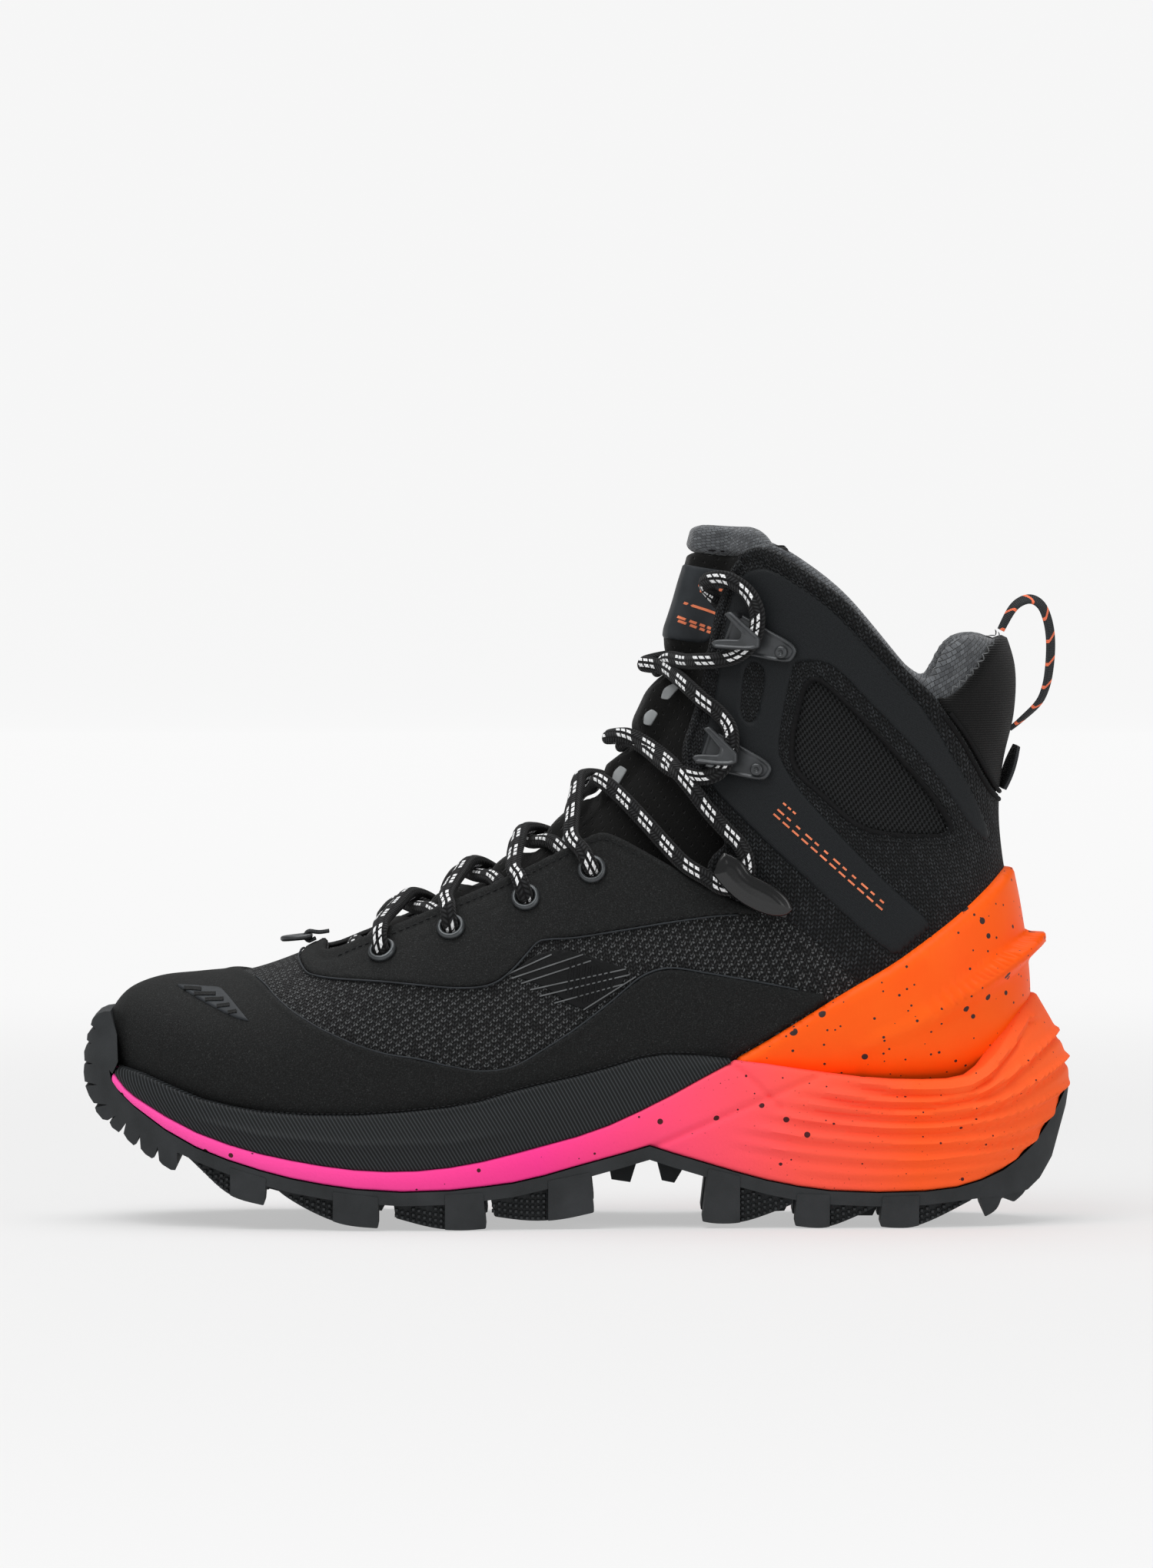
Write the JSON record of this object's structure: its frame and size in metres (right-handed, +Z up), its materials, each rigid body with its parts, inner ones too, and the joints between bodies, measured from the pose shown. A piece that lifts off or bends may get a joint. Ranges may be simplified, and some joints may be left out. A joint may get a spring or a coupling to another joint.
{
  "type": "hiking boot",
  "caption": "Mid-height laced hiking boot for the left foot: lugged sole, foam midsole, moulded heel cradle, knitted upper, hooks and eyelets, padded collar.",
  "frame": {"origin": "on the ground under the middle of the boot's box", "axes": "+Z up, toe towards -X, heel towards +X, outer side of the foot towards -Y"},
  "size_m": [0.3132, 0.1089, 0.2224],
  "materials": {
    "rubber": "matte moulded rubber",
    "foam": "foamed midsole, pink at the toe to orange at the heel, black specks",
    "rand": "finely ridged rubber",
    "tpu": "satin moulded plastic with black specks",
    "knit": "engineered knit",
    "film": "matte microfibre",
    "band": "smooth welded film",
    "window": "fine mesh",
    "padding": "foam padding",
    "lining": "brushed grey textile",
    "tongue": "perforated textile",
    "board": "pressed board",
    "stiffener": "thermoplastic sheet",
    "hardware": "satin black",
    "lace": "round braid with white flecks",
    "webbing": "woven tape",
    "label": "smooth patch"
  },
  "bodies": {
    "boot": {"aglet_a": "hardware", "aglet_b": "hardware", "ankle_window_lateral": "window", "ankle_window_medial": "window", "collar_foam": "padding", "eyelet_lateral_1": "hardware", "eyelet_lateral_2": "hardware", "eyelet_lateral_3": "hardware", "eyelet_lateral_4": "hardware", "eyelet_medial_1": "hardware", "eyelet_medial_2": "hardware", "eyelet_medial_3": "hardware", "eyelet_medial_4": "hardware", "eyestay_lateral": "film", "eyestay_medial": "film", "heel_collar_panel": "tongue", "heel_counter": "stiffener", "heel_cradle": "tpu", "heel_tab": "webbing", "lace": "lace", "lace_keeper_lateral": "hardware", "lace_keeper_medial": "hardware", "lace_keeper_rivet_lateral": "hardware", "lace_keeper_rivet_medial": "hardware", "lasting_board": "board", "lining": "lining", "midsole": "foam", "outsole": "rubber", "quarter_band_lateral": "band", "quarter_band_medial": "band", "rand": "rand", "ring_webbing": "webbing", "shank": "board", "speed_hook_lateral_lower": "hardware", "speed_hook_lateral_upper": "hardware", "speed_hook_medial_lower": "hardware", "speed_hook_medial_upper": "hardware", "speed_hook_rivet_lateral_lower": "hardware", "speed_hook_rivet_lateral_upper": "hardware", "speed_hook_rivet_medial_lower": "hardware", "speed_hook_rivet_medial_upper": "hardware", "toe_guard": "film", "toe_puff": "stiffener", "tongue": "tongue", "tongue_cap": "lining", "tongue_label": "label", "upper_shell": "knit"},
    "ring": {"lace_ring": "hardware"},
    "loop": {"pull_loop": "webbing"},
    "footbed": {"insole": "lining"}
  },
  "joints": [
    {"name": "ring_swing", "type": "hinge", "parent": "boot", "child": "ring", "pos_m": [-0.08484, 0.0015, 0.0905], "axis": [0, 1, 0], "range_deg": [-8, 105]},
    {"name": "loop_flop", "type": "hinge", "parent": "boot", "child": "loop", "pos_m": [0.13856, 0.0015, 0.17425], "axis": [-0.1607, 0, 0.987], "range_deg": [-15, 15], "stiffness_Nm_per_rad": 0.01},
    {"name": "footbed_lift", "type": "hinge", "parent": "boot", "child": "footbed", "pos_m": [-0.14034, 0.0015, 0.0485], "axis": [0, -1, 0], "range_deg": [0, 6]}
  ]
}
